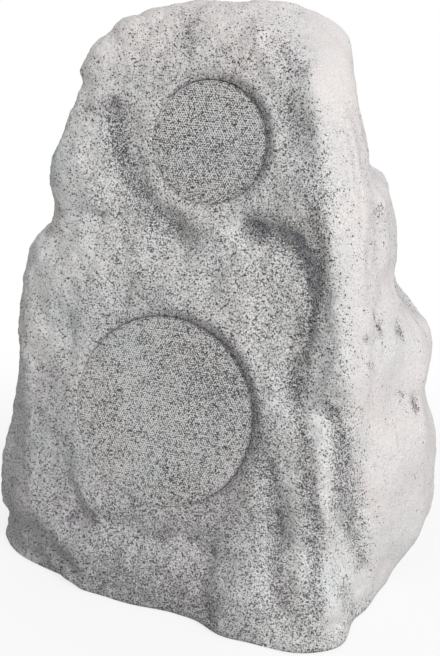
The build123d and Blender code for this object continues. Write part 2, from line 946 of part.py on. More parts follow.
# Foot screws: heads inside the feet, threads in the plate
foot_screw_level = foot_sink_depth * plate_level
with BuildPart() as foot_screws:
    with BuildSketch(Plane.XY.offset(foot_screw_level)):
        with Locations(*foot_places()):
            Circle(base_screw_radius)
    extrude(amount=plate_level - foot_screw_level + grip * plate_thickness)
    with BuildSketch(Plane.XY.offset(foot_screw_level)):
        with Locations(*foot_places()):
            Circle(head_width * base_screw_radius)
    extrude(amount=-foot_head_height * plate_level)
foot_screws.part.label = "foot_screws"
export_step(foot_screws.part, "parts/foot_screws.step")

# Crossover board on four spacers
with BuildPart() as crossover_board:
    with BuildSketch(Plane.XY.offset(board_level)):
        with Locations((board_x, board_y)):
            RectangleRounded(board_length, board_width, board_corner)
        with Locations(*board_places()):
            Circle(board_screw_radius + fit_clearance, mode=Mode.SUBTRACT)
    extrude(amount=board_thickness)
crossover_board.part.label = "crossover_board"
export_step(crossover_board.part, "parts/crossover_board.step")

with BuildPart() as board_spacers:
    with BuildSketch(Plane.XY.offset(plate_top)):
        with Locations(*board_places()):
            Circle(spacer_radius)
        with Locations(*board_places()):
            Circle(board_screw_radius + fit_clearance, mode=Mode.SUBTRACT)
    extrude(amount=spacer_height)
board_spacers.part.label = "board_spacers"
export_step(board_spacers.part, "parts/board_spacers.step")

with BuildPart() as board_screws:
    with BuildSketch(Plane.XY.offset(board_top)):
        with Locations(*board_places()):
            Circle(board_screw_radius)
    extrude(amount=-board_thickness - spacer_height - board_grip * plate_thickness)
    with BuildSketch(Plane.XY.offset(board_top)):
        with Locations(*board_places()):
            Circle(head_width * board_screw_radius)
    extrude(amount=head_height * board_screw_radius)
board_screws.part.label = "board_screws"
export_step(board_screws.part, "parts/board_screws.step")

# Terminal block: takes both leads from above
block_x = spine_x + (woofer_side + tweeter_side) / 2
block_plane = Plane((block_x, board_y + block_row * board_width, board_top))
with BuildPart() as terminal_block:
    with BuildSketch(block_plane):
        Rectangle(block_length, block_width)
    extrude(amount=block_height)
    chamfer(terminal_block.edges().filter_by(Axis.X).sort_by(Axis.Z)[-2:], block_chamfer)
terminal_block.part.label = "terminal_block"
export_step(terminal_block.part, "parts/terminal_block.step")

# Inductor: bobbin and winding
bobbin_x = board_x + bobbin_place[0] * board_length
bobbin_y = board_y + bobbin_place[1] * board_width
coil_plane = Plane((bobbin_x, bobbin_y, board_top))
with BuildPart() as inductor_bobbin:
    with BuildSketch(coil_plane):
        Circle(bobbin_radius)
    extrude(amount=bobbin_flange)
    with BuildSketch(coil_plane.offset(bobbin_height)):
        Circle(bobbin_radius)
    extrude(amount=-bobbin_flange)
    with BuildSketch(coil_plane):
        Circle(bobbin_core)
    extrude(amount=bobbin_height)
    with BuildSketch(coil_plane):
        Circle(bobbin_bore * bobbin_core)
    extrude(amount=bobbin_height, mode=Mode.SUBTRACT)
inductor_bobbin.part.label = "inductor_bobbin"
export_step(inductor_bobbin.part, "parts/inductor_bobbin.step")

with BuildPart() as inductor_winding:
    with BuildSketch(coil_plane.offset(bobbin_flange)):
        Circle(bobbin_radius - winding_inset)
        Circle(bobbin_core + pilot_clearance, mode=Mode.SUBTRACT)
    extrude(amount=bobbin_height - 2 * bobbin_flange)
inductor_winding.part.label = "inductor_winding"
export_step(inductor_winding.part, "parts/inductor_winding.step")

# Capacitors and resistor
for number, place in enumerate(capacitor_places, start=1):
    capacitor_x = board_x + place * board_length
    capacitor_y = board_y + capacitor_row * board_width
    with BuildPart() as capacitor:
        with BuildSketch(Plane((capacitor_x, capacitor_y, board_top))):
            Circle(capacitor_radius)
        extrude(amount=capacitor_height)
        fillet(capacitor.edges().sort_by(Axis.Z)[-1], capacitor_round)
    capacitor.part.label = f"capacitor_{number}"
    export_step(capacitor.part, f"parts/capacitor_{number}.step")

resistor_x = board_x + resistor_place[0] * board_length
resistor_y = board_y + resistor_place[1] * board_width
with BuildPart() as resistor:
    with BuildSketch(Plane((resistor_x, resistor_y, board_top))):
        Rectangle(resistor_length, resistor_width)
    extrude(amount=resistor_width)
    chamfer(resistor.edges().filter_by(Axis.Z), resistor_chamfer)
resistor.part.label = "resistor"
export_step(resistor.part, "parts/resistor.step")

# Leads: straight back from each tag strip, one bend, then down to the terminal block
for driver, bend in ((woofer, woofer_lead_bend), (tweeter, tweeter_lead_bend)):
    seat = driver.seat
    start = seat.from_local_coords(Vector(0, -driver.terminal_radius, driver.terminal_back))
    run = (block_plane.origin.Y - start.Y) / -seat.z_dir.Y
    corner = start - seat.z_dir * run
    end = Vector(start.X, block_plane.origin.Y, block_top)
    with BuildPart() as lead:
        with BuildLine():
            FilletPolyline(start, corner, end, radius=bend)
        with BuildSketch(Plane(start, seat.x_dir, -seat.z_dir)):
            Circle(lead_radius)
        sweep()
    lead.part.label = f"{driver.name}_lead"
    export_step(lead.part, f"parts/{driver.name}_lead.step")

# Cable gland: washer, body, insert, cap and lock nut along one axis
body_base = gland_washer
body_step = body_base + gland_hex_length
insert_end = body_step + gland_insert_length

with BuildPart() as gland_washer_ring:
    with BuildSketch(gland_plane):
        Circle(gland_hex / 2 + gland_washer_margin)
        Circle(gland_thread_radius + pilot_clearance, mode=Mode.SUBTRACT)
    extrude(amount=gland_washer)
gland_washer_ring.part.label = "gland_washer"
export_step(gland_washer_ring.part, "parts/gland_washer.step")

with BuildPart() as gland_body:
    with BuildSketch(gland_plane.offset(body_base)):
        RegularPolygon(gland_hex / 2, 6, major_radius=False)
    extrude(amount=gland_hex_length)
    with BuildSketch(gland_plane.offset(body_base)):
        Circle(gland_thread_radius)
    extrude(amount=-body_base - gland_wall - gland_nut_length - gland_thread_spare)
    with BuildSketch(gland_plane.offset(body_step)):
        Circle(gland_neck_radius)
    extrude(amount=gland_seat)
    with BuildSketch(gland_plane.offset(body_step)):
        Circle(gland_insert_radius + fit_clearance)
    extrude(amount=gland_seat, mode=Mode.SUBTRACT)
    with BuildSketch(gland_plane.offset(body_step)):
        Circle(gland_bore_radius)
    extrude(amount=-body_step - gland_wall - gland_nut_length - gland_thread_spare, mode=Mode.SUBTRACT)
gland_body.part.label = "gland_body"
export_step(gland_body.part, "parts/gland_body.step")

with BuildPart() as gland_insert:
    with BuildSketch(gland_plane.offset(body_step)):
        Circle(gland_insert_radius)
        Circle(gland_insert_bore, mode=Mode.SUBTRACT)
    extrude(amount=gland_insert_length)
gland_insert.part.label = "gland_insert"
export_step(gland_insert.part, "parts/gland_insert.step")

with BuildPart() as gland_cap:
    with BuildSketch(gland_plane.offset(body_step + gland_cap_gap)):
        RegularPolygon(gland_hex / 2, 6, major_radius=False)
    extrude(amount=insert_end + gland_cap_end - body_step - gland_cap_gap)
    with BuildSketch(gland_plane.offset(body_step + gland_cap_gap)):
        Circle(gland_neck_radius + pilot_clearance)
    extrude(amount=gland_insert_length - gland_cap_gap, mode=Mode.SUBTRACT)
    with BuildSketch(gland_plane.offset(insert_end)):
        Circle(gland_bore_radius)
    extrude(amount=gland_cap_end, mode=Mode.SUBTRACT)
    with BuildSketch(Plane(gland_plane.origin, (1, 0, 0), (0, 0, -1))):
        with Locations((gland_slope_place * gland_hex, insert_end + gland_cap_end)):
            Rectangle(gland_slope_width * gland_hex, gland_slope_width * gland_hex, rotation=45)
    revolve(axis=Axis(gland_plane.origin, gland_plane.z_dir), mode=Mode.SUBTRACT)
gland_cap.part.label = "gland_cap"
export_step(gland_cap.part, "parts/gland_cap.step")

with BuildPart() as gland_nut:
    with BuildSketch(gland_plane.offset(-gland_wall)):
        RegularPolygon(gland_hex / 2 + gland_nut_margin, 6, major_radius=False)
        Circle(gland_thread_radius + pilot_clearance, mode=Mode.SUBTRACT)
    extrude(amount=-gland_nut_length)
gland_nut.part.label = "gland_nut"
export_step(gland_nut.part, "parts/gland_nut.step")
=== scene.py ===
"""Looks of a rock shaped garden speaker: boulder, grilles, drivers, fittings and a plain stage."""

import json
import math

import bmesh
import bpy
import numpy as np
from mathutils import Matrix, Vector, noise


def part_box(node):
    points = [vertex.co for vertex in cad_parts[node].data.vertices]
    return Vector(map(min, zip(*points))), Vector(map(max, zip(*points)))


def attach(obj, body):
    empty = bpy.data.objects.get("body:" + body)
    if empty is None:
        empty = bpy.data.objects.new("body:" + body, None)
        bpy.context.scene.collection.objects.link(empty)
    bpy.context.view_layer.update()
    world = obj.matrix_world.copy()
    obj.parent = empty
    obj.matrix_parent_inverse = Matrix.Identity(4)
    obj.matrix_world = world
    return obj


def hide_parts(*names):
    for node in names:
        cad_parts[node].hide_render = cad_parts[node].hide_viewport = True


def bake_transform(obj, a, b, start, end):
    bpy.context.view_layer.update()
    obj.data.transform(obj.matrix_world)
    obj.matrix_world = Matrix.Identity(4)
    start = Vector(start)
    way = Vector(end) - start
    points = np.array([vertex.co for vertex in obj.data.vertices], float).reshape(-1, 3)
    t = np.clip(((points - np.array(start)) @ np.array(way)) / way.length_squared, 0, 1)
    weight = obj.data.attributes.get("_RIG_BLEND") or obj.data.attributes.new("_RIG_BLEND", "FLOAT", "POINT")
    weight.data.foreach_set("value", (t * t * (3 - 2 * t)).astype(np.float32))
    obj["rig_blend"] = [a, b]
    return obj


bl_info = {
    "name": "Garden Rock Speaker",
    "version": (1, 0, 0),
    "blender": (4, 5, 0),
    "location": "View3D > Sidebar > Rock Speaker",
    "description": "Dresses the packed rock speaker with its granite coat, grilles and finishes",
    "category": "Object",
}

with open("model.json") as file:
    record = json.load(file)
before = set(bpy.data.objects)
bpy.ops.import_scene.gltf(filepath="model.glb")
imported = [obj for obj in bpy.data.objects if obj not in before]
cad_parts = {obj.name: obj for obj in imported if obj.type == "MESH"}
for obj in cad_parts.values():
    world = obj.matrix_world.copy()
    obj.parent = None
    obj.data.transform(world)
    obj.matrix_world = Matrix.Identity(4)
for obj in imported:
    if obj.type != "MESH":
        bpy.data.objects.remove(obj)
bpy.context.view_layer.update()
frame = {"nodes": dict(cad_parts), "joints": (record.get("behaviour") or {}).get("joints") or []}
NODES = frame["nodes"]
FACE_OUT = Vector(frame["joints"][0]["axis"]).normalized()
FACE_UP = FACE_OUT.cross(Vector((1, 0, 0))).normalized()
GLAND_LOW, GLAND_HIGH = (Vector(corner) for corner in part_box("gland_washer"))
GLAND_MIDDLE = (GLAND_LOW + GLAND_HIGH) / 2

# Sizes that follow the solids, in metres
GRILLE_RIM = 0.003
SPINE = Vector((0.003, -0.004, 0))
SPINE_LEAN = 0.09
SPINE_TOP = 0.40
GLAND_FLAT = 0.019
GLAND_DEPTH = 0.012
GLAND_FADE = 0.02
SEAT_REACH = 0.03
LIP_REACH = 0.05
WELD = 1e-6

# How the boulder's skin is told from its walls and how finely it is cut
SKIN_TURN = 0.15
SKIN_FOOT = 0.0016
SEAT_MARGIN = 0.0006
RIM_MARGIN = 0.014
HALVINGS = 7
SMOOTHINGS = 3
SHARP_ANGLE = math.radians(48)

# Relief of the skin: waves to the metre along each axis, and how fast the finer waves fade
RELIEF = {"ripple": ((21, 21, 9), 1.0), "lump": ((52, 52, 40), 0.9), "pebble": ((170, 170, 170), 0.8)}
VARY_WAVES = ((190, 160, 230), (-120, 210, 150))
SWAY_WAVES = np.array([[40, 90], [60, -50], [70, 60]])
SWAY = 3.0
CALM_RIGHT = 0.45

# Right corner of the front: how far it stands out, its half width, and the slope behind it (metres)
CORNER_RISE = 0.0025
CORNER_WIDTH = 0.009
CORNER_FALL = 0.0045
CORNER_RUN = 0.024
CORNER_FOOT = 0.19

# Lips and painted shade round the grilles: where they are strongest, then distance from the sheet and width
# (metres)
LIP_TURN = math.radians(30)
LINE_TURN = math.radians(45)
LIP_START = 0.0015
LIP_FADE = 0.024
LIP_FADE_LEFT = 0.018
LIP_HOLD = 0.9
BAND = (0.003, 0.006)
LINE = (0.0005, 0.0016)

# Values of the coat, held by the skin's points, and what the walls inside get: painted shade and dense
# flecks, which darken the grille recesses
COAT_LAYERS = ("soil_and_shade", "fleck_density", "warmth")
WALL_SHADE = 0.8
WALL_FLECKS = 0.9

# Features of the coat's noises, in metres
CLUSTER = 0.011
PATCH = 0.045
DRIFT = 0.050
GRAIN = 0.0034
GRILLE_CLUSTER = 0.010
GRILLE_PATCH = 0.060
GRILLE_GRAIN = 0.002

# Grilles: gap round the sheet, its depth under the rim's top, and the rolled rim's section (metres)
SHEET_GAP = 0.0004
SHEET_SUNK = 0.0004
RIM_SHOULDER = 0.0009
RIM_ROUND = 0.0005
RIM_FLAT = 0.0011
RIM_WALL = 0.0012
RIM_STEPS = 120

# Surrounds and spiders: sectors to a ring, and the share of its width that is glued at each edge
SECTORS = 8
GLUED_SHARE = 0.22

# Stage: half of the floor's width, lamps with place and width, what they aim at, and the frame's height
FLOOR_SIZE = 6.0
KEY_LAMP = ((2.3, -1.5, 2.0), 1.5)
FILL_LAMP = ((-1.3, 1.6, 1.4), 1.4)
LAMP_AIM = Vector((0, 0, 0.22))
FRAME_HEIGHT = 24.0


def seat_of(driver):
    """Place of a grille's seat as a matrix whose Z points out of the boulder, and the grille's radius."""
    low, high = (Vector(corner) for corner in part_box(f"{driver}_grille"))
    centre = (low + high) / 2 - FACE_OUT * GRILLE_RIM / 2
    turn = Matrix((Vector((1, 0, 0)), FACE_UP, FACE_OUT)).transposed().to_4x4()
    return Matrix.Translation(centre) @ turn, (high.x - low.x) / 2


SEATS = {driver: seat_of(driver) for driver in ("woofer", "tweeter")}


def plug(tree, socket, value):
    """Links a wire to a socket, or sets the socket to a plain value."""
    if isinstance(value, Wire):
        tree.links.new(value.socket, socket)
    else:
        socket.default_value = value


class Wire:
    """A shader socket that can be used in sums; each sum adds a Math node."""

    def __init__(self, tree, socket):
        self.tree = tree
        self.socket = socket

    def combine(self, operation, first, second):
        math_node = self.tree.nodes.new("ShaderNodeMath")
        math_node.operation = operation
        for socket, value in zip(math_node.inputs, (first, second)):
            plug(self.tree, socket, value)
        return Wire(self.tree, math_node.outputs[0])

    def __add__(self, other):
        return self.combine("ADD", self, other)

    def __radd__(self, other):
        return self.combine("ADD", other, self)

    def __sub__(self, other):
        return self.combine("SUBTRACT", self, other)

    def __rsub__(self, other):
        return self.combine("SUBTRACT", other, self)

    def __mul__(self, other):
        return self.combine("MULTIPLY", self, other)

    def __rmul__(self, other):
        return self.combine("MULTIPLY", other, self)

    def sibling(self, name):
        """Another output of the same node."""
        return Wire(self.tree, self.socket.node.outputs[name])


class Finish:
    """A material under construction: one shader, and one method that adds any node to it."""

    def __init__(self, name, roughness=0.6, metallic=0.0):
        self.material = bpy.data.materials.new(name)
        self.material.use_nodes = True
        self.tree = self.material.node_tree
        self.shader = self.tree.nodes["Principled BSDF"]
        self.shader.inputs["Roughness"].default_value = roughness
        self.shader.inputs["Metallic"].default_value = metallic
        self.place = self.node("ShaderNodeTexCoord", output="Object")

    def node(self, kind, settings=None, output=0, **sockets):
        """Adds a node, sets it up, feeds its sockets and returns one of its outputs."""
        made = self.tree.nodes.new(kind)
        for key, value in (settings or {}).items():
            setattr(made, key, value)
        for key, value in sockets.items():
            name = key.replace("_", " ")
            plug(self.tree, next(s for s in made.inputs if s.enabled and s.name == name), value)
        return Wire(self.tree, made.outputs[output])

    def mix(self, amount, first, second):
        """Colour that goes from first to second; the numbers are the node's colour sockets."""
        blend = self.tree.nodes.new("ShaderNodeMix")
        blend.data_type = "RGBA"
        for index, value in ((0, amount), (6, first), (7, second)):
            plug(self.tree, blend.inputs[index], value)
        return Wire(self.tree, blend.outputs[2])

    def scaled(self, size):
        """Place on the piece, counted in cells of size metres."""
        return self.node("ShaderNodeMapping", Vector=self.place, Scale=[1 / size] * 3)

    def noise(self, size, detail=2.0, roughness=0.5):
        """Smooth noise whose features are about size metres across."""
        place = self.scaled(size)
        return self.node("ShaderNodeTexNoise", Vector=place, Scale=1.0, Detail=detail, Roughness=roughness)

    def ramp(self, value, low, high):
        """Value taken from low..high to 0..1 with soft ends."""
        settings = {"interpolation_type": "SMOOTHSTEP"}
        return self.node("ShaderNodeMapRange", settings, Value=value, From_Min=low, From_Max=high)

    def flecks(self, size, density):
        """Specks of random width, at most one to a cell: where they are, and the tone of each."""
        gap = self.node("ShaderNodeTexVoronoi", Vector=self.scaled(size), Scale=1.0)
        chance = self.node("ShaderNodeSeparateColor", Color=gap.sibling("Color"))
        there = self.ramp(density - chance, -0.03, 0.03)
        spot = self.ramp(0.28 + 0.36 * chance.sibling("Green") - gap, -0.09, 0.09)
        return there * spot, chance.sibling("Blue")

    def feed(self, socket, wire):
        self.tree.links.new(wire.socket, self.shader.inputs[socket])

    def bump(self, height, distance, strength=1.0):
        relief = self.node("ShaderNodeBump", Height=height, Distance=distance, Strength=strength)
        self.feed("Normal", relief)


def grey(level):
    return (level, level, level, 1)


def colour(channels, factor=1.0):
    """Opaque colour, made darker or lighter by a factor."""
    return (*(min(1.0, channel * factor) for channel in channels), 1)


def ray_kinds(tree):
    """Whether a ray comes from the camera, off a mirror or through a pane."""
    path = tree.nodes.new("ShaderNodeLightPath")
    return [Wire(tree, path.outputs[f"Is {kind} Ray"]) for kind in ("Camera", "Glossy", "Transmission")]


def mix_shaders(tree, share, first, second, output):
    """Leads two shaders to a tree's output, the second by its share."""
    blend = tree.nodes.new("ShaderNodeMixShader")
    for socket, source in zip(blend.inputs, (share.socket, first.outputs[0], second.outputs[0])):
        tree.links.new(source, socket)
    tree.links.new(blend.outputs[0], tree.nodes[output].inputs[0])


def granite_coat(settings):
    """Sprayed granite: pale ground with a drifting cast, black specks in clusters and a finer pepper,
    darkened by stains and by painted shade in creases, low down and round the grilles.
    """
    coat = Finish("granite_coat", roughness=0.85)
    soil_and_shade, density, warmth = (
        coat.node("ShaderNodeAttribute", {"attribute_name": name}, output="Fac") for name in COAT_LAYERS
    )
    cluster = coat.noise(CLUSTER, detail=3.0, roughness=0.6)
    patch = coat.noise(PATCH, detail=2.0)
    local = density + 1.0 * (cluster - 0.5) + 0.4 * (patch - 0.5)
    dark, tone = coat.flecks(settings.fleck_size, local * 0.72 - 0.06)
    pepper, _ = coat.flecks(settings.fleck_size * 0.64, local * 0.78 + 0.18)
    ground = drifting(coat, settings, warmth)
    speckled = coat.mix(pepper * (0.40 + 0.46 * density), ground, grey(0.055))
    speckled = coat.mix(dark * 0.97, speckled, coat.mix(tone * tone, grey(0.010), grey(0.18)))
    # Stains and painted shade in creases, low down, round the grilles and on the walls darken the speckled
    # coat
    coat.feed("Base Color", coat.mix(soil_and_shade * 0.6, speckled, colour(settings.dirt)))
    coat.feed("Roughness", 0.92 - dark * 0.12)
    coat.bump(coat.noise(GRAIN, detail=3.0, roughness=0.65) - dark * 0.15, 0.0010, 0.8)
    return coat.material


def drifting(coat, settings, warmth):
    """Ground colour of the coat: cool or warm by place, with a slight drift, and paler in fine grains."""
    drift = coat.noise(DRIFT, detail=3.0)
    cool, warm = colour(settings.ground_cool), colour(settings.ground_warm)
    tinted = coat.mix(warmth + 2.0 * (drift - 0.5), cool, warm)
    pale = coat.ramp(coat.noise(settings.fleck_size * 1.2, detail=1.0), 0.50, 0.64)
    return coat.mix(pale * 0.5, tinted, grey(0.92))


def grille_coat(settings):
    """The same coat on the perforated sheets, denser to the right, where the flecks paint the shade of the
    high lip.
    """
    coat = Finish("grille_coat", roughness=0.75)
    across = coat.node("ShaderNodeSeparateXYZ", Vector=coat.place)
    cluster = coat.noise(GRILLE_CLUSTER, detail=3.0)
    patch = coat.noise(GRILLE_PATCH, detail=2.0)
    # Denser flecks to the right paint the shade cast by the high lip
    local = 0.60 + 0.8 * (cluster - 0.5) + 1.0 * (patch - 0.5) + 1.2 * (across + 0.010)
    dark, tone = coat.flecks(settings.fleck_size, local * 0.95 - 0.05)
    pepper, _ = coat.flecks(settings.fleck_size * 0.7, local * 0.8)
    speckled = coat.mix(pepper * 0.8, drifting(coat, settings, 0.45), grey(0.05))
    specks = coat.mix(tone * tone, grey(0.010), grey(0.12))
    coat.feed("Base Color", coat.mix(dark * 0.97, speckled, specks))
    coat.feed("Roughness", 0.84 - dark * 0.10)
    coat.bump(coat.noise(GRILLE_GRAIN, detail=2.0), 0.0003)
    return coat.material


def grained(name, tint, roughness, grain, bump, shade=0.25, metallic=0.0):
    """A moulded, pressed or rubber finish: slight colour drift, uneven gloss and a fine grain."""
    finish = Finish(name, roughness, metallic)
    fine = finish.noise(grain, detail=3.0)
    cloud = finish.noise(grain * 14, detail=2.0)
    drift = finish.ramp(cloud * 0.6 + fine * 0.4, 0.35, 0.65)
    finish.feed("Base Color", finish.mix(drift, colour(tint, 1 - shade), colour(tint, 1 + shade)))
    finish.feed("Roughness", roughness - 0.08 + fine * 0.16)
    finish.bump(fine, bump)
    return finish.material


def wound(name, tint, pitch):
    """Enamelled wire laid in close turns, with painted shade in the grooves between them."""
    finish = Finish(name, roughness=0.32, metallic=0.9)
    bands = {"bands_direction": "Z"}
    scale = 1 / (pitch * 6.3)
    turns = finish.node("ShaderNodeTexWave", bands, Vector=finish.place, Scale=scale, Distortion=0.4)
    # Darker bands between the turns are painted shade
    finish.feed("Base Color", finish.mix(finish.ramp(turns, 0.1, 0.7), colour(tint, 0.45), colour(tint)))
    finish.bump(turns, pitch * 0.4)
    return finish.material


# Plain finishes: colour, roughness, grain and bump in metres, then drift of colour and metal where they
# matter; for the wire, colour and pitch of its turns
FINISHES = {
    "foam_ring": (grained, (0.035, 0.035, 0.036), 0.9, 0.0012, 0.0004),
    "black_frame": (grained, (0.030, 0.030, 0.032), 0.45, 0.0015, 0.0001),
    "coated_paper": (grained, (0.040, 0.039, 0.038), 0.78, 0.0016, 0.0003),
    "cap_plastic": (grained, (0.020, 0.020, 0.022), 0.35, 0.0012, 0.00008),
    "copper_wire": (wound, (0.62, 0.30, 0.16), 0.0006),
    "zinc_plate": (grained, (0.60, 0.60, 0.62), 0.34, 0.0022, 0.00005, 0.12, 1.0),
    "grey_ferrite": (grained, (0.060, 0.060, 0.063), 0.55, 0.0020, 0.0002),
    "brown_board": (grained, (0.10, 0.055, 0.03), 0.55, 0.0010, 0.0001),
    "red_sheath": (grained, (0.36, 0.03, 0.025), 0.5, 0.0012, 0.0001),
    "soft_rubber": (grained, (0.022, 0.022, 0.023), 0.62, 0.0010, 0.0001),
    "treated_cloth": (grained, (0.42, 0.30, 0.13), 0.85, 0.0009, 0.0003),
    "black_board": (grained, (0.045, 0.045, 0.047), 0.6, 0.0014, 0.00025),
    "black_nylon": (grained, (0.030, 0.030, 0.031), 0.42, 0.0010, 0.00012),
    "green_board": (grained, (0.035, 0.14, 0.06), 0.4, 0.0020, 0.00008),
    "white_ceramic": (grained, (0.70, 0.69, 0.64), 0.75, 0.0014, 0.0002, 0.08),
}
DRIVER_FINISHES = {
    "gasket": "foam_ring",
    "frame": "black_frame",
    "cone": "coated_paper",
    "dust_cap": "cap_plastic",
    "voice_coil": "copper_wire",
    "top_plate": "zinc_plate",
    "magnet": "grey_ferrite",
    "yoke": "zinc_plate",
    "terminals": "brown_board",
    "screws": "zinc_plate",
    "lead": "red_sheath",
}
FITTING_FINISHES = {
    "black_board": ("base_plate", "board_spacers", "inductor_bobbin"),
    "soft_rubber": (
        "foot_front_left", "foot_front_right", "foot_back_left", "foot_back_right", "gland_insert",
    ),
    "foam_ring": ("base_seal", "gland_washer"),
    "zinc_plate": ("base_screws", "foot_screws", "board_screws"),
    "black_nylon": ("gland_body", "gland_cap", "gland_nut"),
    "cap_plastic": ("capacitor_1", "capacitor_2"),
    "brown_board": ("terminal_block",),
    "copper_wire": ("inductor_winding",),
    "green_board": ("crossover_board",),
    "white_ceramic": ("resistor",),
}


def shared(name):
    """A plain finish, made once and used again by name."""
    make, *values = FINISHES[name]
    return bpy.data.materials.get(name) or make(name, *values)


def paint(node, name):
    """Gives a carried-over solid its finish."""
    mesh = NODES[node].data
    mesh.materials.clear()
    mesh.materials.append(shared(name))


def placed(name, shape):
    """Turns a bmesh into an object of the scene."""
    mesh = bpy.data.meshes.new(name)
    shape.to_mesh(mesh)
    shape.free()
    piece = bpy.data.objects.new(name, mesh)
    bpy.context.collection.objects.link(piece)
    return piece


def finished(name, shape, body, node):
    """Turns a bmesh into a piece that rides on a body and stands for its solid."""
    piece = placed(name, shape)
    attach(piece, body)
    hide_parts(node)
    return piece


def number(name, description, default, **more):
    return bpy.props.FloatProperty(name=name, description=description, default=default, **more)


def length(name, description, default, **more):
    return number(name, description, default, unit="LENGTH", **more)


def vector(name, description, default, subtype):
    return bpy.props.FloatVectorProperty(name=name, description=description, default=default, subtype=subtype)


class RockSettings(bpy.types.PropertyGroup):
    """Sizes and colours of the boulder."""

    edge: length("Mesh edge", "Longest edge of the boulder's skin", 0.0063, min=0.002)
    ripple: length("Ripples", "Height of the upright ripples", 0.0016)
    lump: length("Lumps", "Height of the knuckle sized lumps", 0.0022)
    pebble: length("Pebbling", "Height of the small pebbling", 0.0008)
    deepest: length("Deepest", "Depth that no crease passes, so the wall stays whole", 0.0045)
    lip_low: length("Low lip", "Height of the rock over a grille's seat at the low left", 0.0036)
    lip_high: length("High lip", "Height of the rock over a grille's seat at the right", 0.0090)
    lip_round: length("Lip rounding", "Width over which a lip rises from its seat", 0.010)
    fleck_size: length("Fleck", "Cell that holds one of the coat's flecks", 0.00145)
    ground_cool: vector("Cool ground", "Coat colour with a green cast", (0.728, 0.746, 0.742), "COLOR")
    ground_warm: vector("Warm ground", "Coat colour with a pink cast", (0.80, 0.752, 0.738), "COLOR")
    # Dark colour of stains and of the painted shade in creases, low down and round the grilles
    dirt: vector("Dirt", "Colour of the dirt in creases and low down", (0.082, 0.066, 0.104), "COLOR")


class GrilleSettings(bpy.types.PropertyGroup):
    """Sizes of the perforated sheets."""

    pitch: length("Pitch", "Distance between holes", 0.00215)
    web: length("Web", "Half of the metal left between two holes", 0.00062)
    sheet: length("Sheet", "Thickness of the sheet", 0.0008)


class StageSettings(bpy.types.PropertyGroup):
    """Camera and light."""

    azimuth: number("Azimuth", "Camera angle to the right of the front", math.radians(22), subtype="ANGLE")
    elevation: number("Elevation", "Camera angle above the horizon", math.radians(22), subtype="ANGLE")
    distance: length("Distance", "Camera distance from its target", 1.0)
    target: vector("Target", "Point the camera looks at", (0.038, -0.091, 0.250), "XYZ")
    lens: number("Lens", "Focal length on a 24 mm high frame", 45.0)
    key_power: number("Key", "Power of the lamp on the right", 69.0, subtype="POWER")
    fill_power: number("Fill", "Power of the lamp behind", 8.0, subtype="POWER")
    sky: number("Sky", "Strength of the soft light all round", 0.41)


# Creases and ridges of the boulder, each on one face: points across and up, half width and
# stand-out, all in millimetres
CREASES = {
    "cleft": ("front", ((46, 325), (62, 324), (82, 317), (96, 306), (107, 292), (109, 282)), 6, -4),
    "cleft tail": ("front", ((109, 282), (105, 245), (102, 196)), 6, -2.5),
    "valley": ("front", ((-86, 408), (-77, 374), (-62, 348), (-42, 328), (-22, 311)), 7, -2.5),
    "lump foot": ("front", ((-134, 314), (-106, 318), (-74, 324)), 5, -2.5),
    "brow notch": ("front", ((-114, 406), (-90, 407)), 5, -2.5),
    "lip": ("front", ((-90, 63), (-50, 62), (-2, 64), (40, 61)), 4, -2),
    "knot": ("front", ((122, 194), (136, 188)), 5, -2),
    "flute": ("front", ((87, 140), (98, 82), (106, 38)), 7, -2.5),
    "middle flute": ("front", ((117, 174), (125, 143), (134, 84), (147, 42)), 7, -3),
    "outer flute": ("front", ((141, 174), (148, 140), (153, 100), (158, 66), (164, 36)), 6, -3),
    "first pillar": ("front", ((95, 178), (104, 139), (113, 91), (125, 57)), 7, 1.5),
    "second pillar": ("front", ((128, 165), (136, 125), (145, 75), (156, 36)), 7, 2),
    "skirt fold": ("front", ((38, 60), (46, 30), (50, 6)), 8, -2),
    "skirt knuckle": ("front", ((-40, 36), (-8, 30)), 18, 2),
    "top hollow": ("front", ((54, 478), (74, 454)), 13, -3),
    "top ridge": ("front", ((34, 481), (55, 452)), 9, 2),
    "top dent": ("front", ((-24, 486), (-28, 468)), 11, -2),
    "side patch": ("front", ((68, 422), (76, 408)), 14, -2),
    "low ledge": ("right", ((60, 222), (100, 218), (146, 206)), 7, -1.5),
    "high ledge": ("right", ((38, 354), (70, 340)), 7, -1.5),
    "notch": ("right", ((50, 256), (72, 241), (88, 229)), 11, -4),
    "pit": ("right", ((-36, 255), (-24, 240)), 5, -1.5),
    "middle pit": ("right", ((0, 231), (8, 224)), 5, -1.5),
    "side fill": ("right", ((-16, 355), (-20, 315), (-28, 285), (-42, 256)), 13, 4),
    "rear pit": ("right", ((6, 174), (8, 160)), 5, -1.5),
    "left step": ("left", ((-60, 300), (10, 306), (70, 296)), 6, -2.5),
    "left gully": ("left", ((30, 250), (44, 170), (40, 70)), 7, -2.5),
    "left scar": ("left", ((-40, 190), (-52, 110), (-46, 50)), 6, -2.5),
    "back gully": ("back", ((-38, 403), (-24, 315), (-42, 226)), 7, -2.5),
    "back ledge": ("back", ((98, 276), (42, 256), (-4, 276)), 6, -2.5),
    "back scar": ("back", ((60, 428), (74, 349), (60, 300)), 7, -2.5),
}
